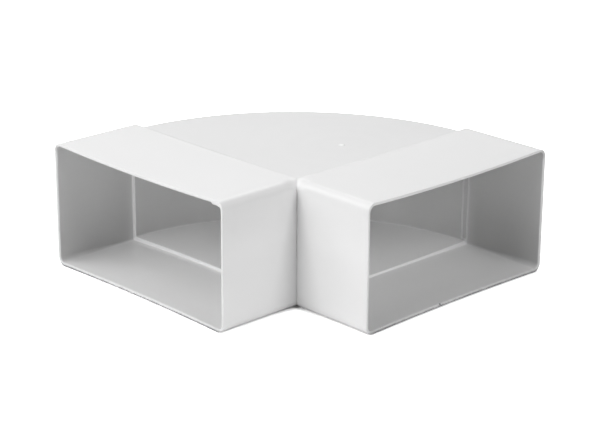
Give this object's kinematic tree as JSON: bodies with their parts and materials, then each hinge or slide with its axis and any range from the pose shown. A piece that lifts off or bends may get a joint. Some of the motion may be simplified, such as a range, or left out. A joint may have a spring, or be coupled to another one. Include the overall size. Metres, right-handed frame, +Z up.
{
  "type": "flat duct elbow",
  "caption": "Horizontal right-angle elbow for flat ventilation duct: a stepped-in round bend between sockets that meet in a sharp crease.",
  "frame": {"origin": "on the floor, under the middle of the elbow's square outline", "axes": "+Z up; one socket opens to +X and the other to -Y; the bend's round back looks to -X and +Y"},
  "size_m": [0.1562, 0.1562, 0.0588],
  "materials": {
    "white_plastic": "white moulded plastic with a satin sheen"
  },
  "bodies": {
    "root": {"elbow": "white_plastic"}
  },
  "joints": []
}
